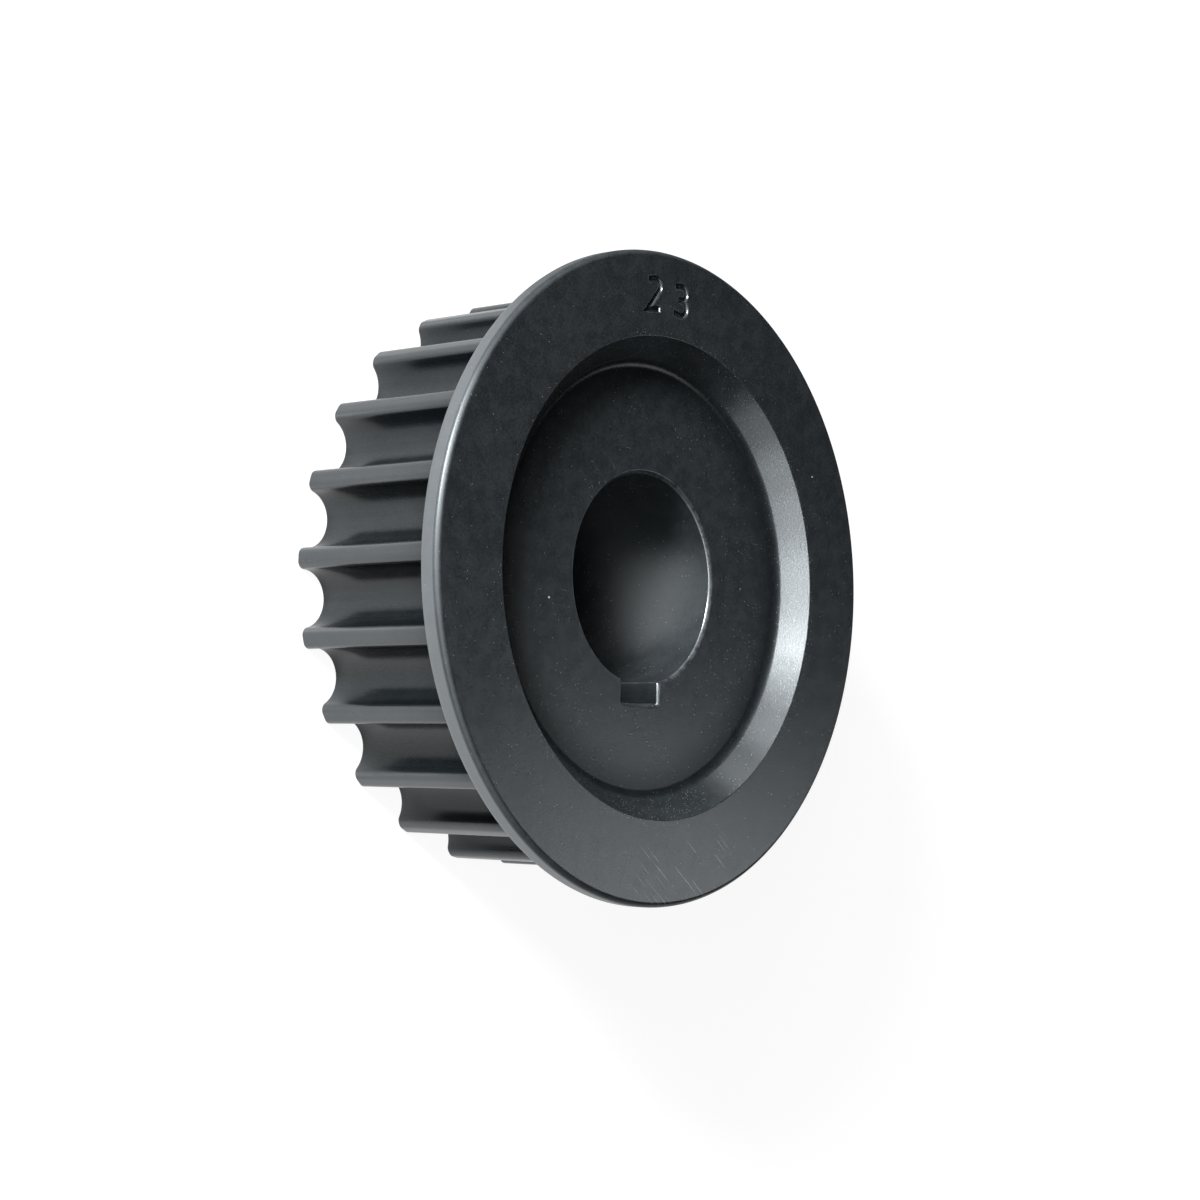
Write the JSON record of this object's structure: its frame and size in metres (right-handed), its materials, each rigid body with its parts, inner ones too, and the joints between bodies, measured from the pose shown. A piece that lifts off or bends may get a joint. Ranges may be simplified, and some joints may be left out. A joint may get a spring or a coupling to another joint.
{
  "type": "belt drive pulley",
  "caption": "Flanged pulley for a toothed belt: curved belt grooves, one integral flange with a shallow bevelled recess, and a bore with a keyway.",
  "frame": {"origin": "on the bore axis, at the face of the open end of the teeth, which the pulley stands on", "axes": "+Z along the bore, towards the flange; -Y towards the keyway; a tooth is centred on -X"},
  "size_m": [0.064, 0.064, 0.022],
  "materials": {
    "black_anodised": "satin black anodised"
  },
  "bodies": {
    "root": {"pulley": "black_anodised"}
  },
  "joints": []
}
